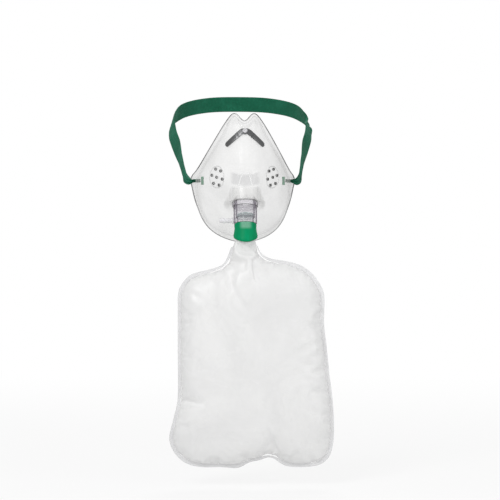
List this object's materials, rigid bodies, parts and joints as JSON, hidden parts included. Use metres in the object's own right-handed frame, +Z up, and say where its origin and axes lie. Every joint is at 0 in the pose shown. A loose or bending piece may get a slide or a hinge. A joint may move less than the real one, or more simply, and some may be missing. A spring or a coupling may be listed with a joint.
{
  "type": "reservoir bag oxygen mask",
  "caption": "Clear oxygen face mask with vent holes, bendable nose strip, green elastic head strap, angled clear inlet connector with side nipple, green collar and a flat frosted reservoir bag.",
  "frame": {"origin": "midway between the two strap eyelets, at the depth where the cheeks hold the flange", "axes": "+Z up the wearer's face, +Y from the mask into the face, +X towards the wearer's left ear"},
  "size_m": [0.172, 0.2417, 0.411],
  "materials": {
    "clear_vinyl": "gloss",
    "clear_rigid": "polished",
    "green_vinyl": "satin",
    "green_elastic": "matte",
    "aluminium_strip": "satin",
    "silicone": "satin",
    "bag_film": "satin"
  },
  "bodies": {
    "mask": {"mask_shell": "clear_vinyl", "nose_clip": "aluminium_strip", "nose_clip_stud": "clear_rigid"},
    "strap": {"head_strap": "green_elastic", "strap_end_bar_left": "green_vinyl", "strap_end_bar_right": "green_vinyl"},
    "connector": {"connector_tube": "clear_rigid", "oxygen_inlet": "clear_rigid", "valve_seat": "clear_rigid", "valve_pin": "clear_rigid", "bag_collar": "green_vinyl", "bag_neck_sleeve": "bag_film"},
    "valve": {"valve_disc": "silicone"},
    "bag": {"bag_front_film": "bag_film", "bag_back_film": "bag_film"}
  },
  "joints": [
    {"name": "connector_swivel", "type": "hinge", "parent": "mask", "child": "connector", "pos_m": [0, -0.066, -0.026], "axis": [0, 0.2588, 0.9659], "range_deg": [-15, 190]},
    {"name": "valve_lift", "type": "slide", "parent": "connector", "child": "valve", "axis": [0, 0.2588, 0.9659], "range_m": [0, 0.0012]},
    {"name": "bag_swing", "type": "hinge", "parent": "connector", "child": "bag", "pos_m": [0, -0.07641, -0.06483], "axis": [-1, 0, 0], "range_deg": [-20, 60]},
    {"name": "strap_swing", "type": "hinge", "parent": "mask", "child": "strap", "pos_m": [0, -0.0078, 0], "axis": [1, 0, 0], "range_deg": [-60, 75]}
  ]
}
